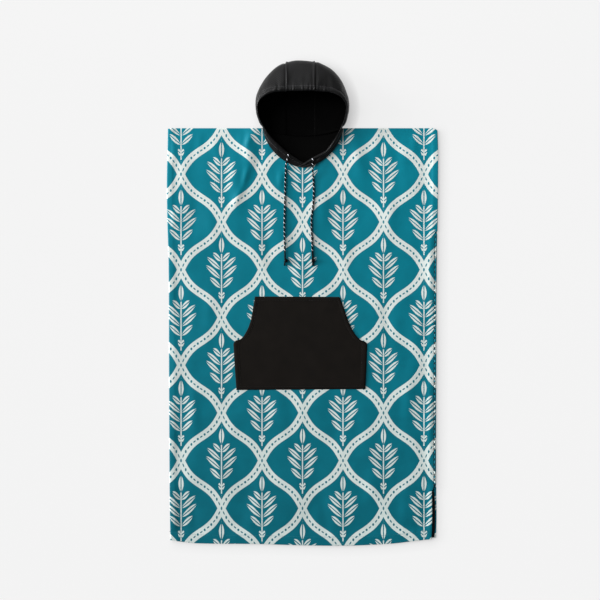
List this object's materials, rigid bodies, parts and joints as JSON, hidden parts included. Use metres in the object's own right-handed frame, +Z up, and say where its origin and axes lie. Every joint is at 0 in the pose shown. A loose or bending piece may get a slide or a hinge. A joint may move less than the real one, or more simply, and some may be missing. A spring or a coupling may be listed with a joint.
{
  "type": "hooded bath poncho",
  "caption": "Sleeveless hooded towelling poncho laid flat on its back, hood open, with a kangaroo pocket, side slits and hood drawcords.",
  "frame": {"origin": "middle of the laid garment's outline, on the surface it lies on", "axes": "+Y towards the hood, +X to the viewer's right seen from above, +Z up out of the front panel"},
  "size_m": [0.7507, 1.3414, 0.062],
  "materials": {
    "print_cloth": "printed microfibre towelling, teal and cream outside, black inside",
    "hood_jersey": "matt black brushed jersey",
    "pocket_fleece": "matt black fleece",
    "tape": "black woven twill tape",
    "cord": "round braided cord, black with pale flecks"
  },
  "bodies": {
    "root": {"back": "print_cloth", "front": "print_cloth", "vent_tape_left": "tape", "vent_tape_right": "tape", "hood_left": "hood_jersey", "hood_crown": "hood_jersey", "hood_right": "hood_jersey", "pocket": "pocket_fleece", "drawcord_left": "cord", "drawcord_right": "cord", "cord_knot_left": "cord", "cord_knot_right": "cord"}
  },
  "joints": []
}
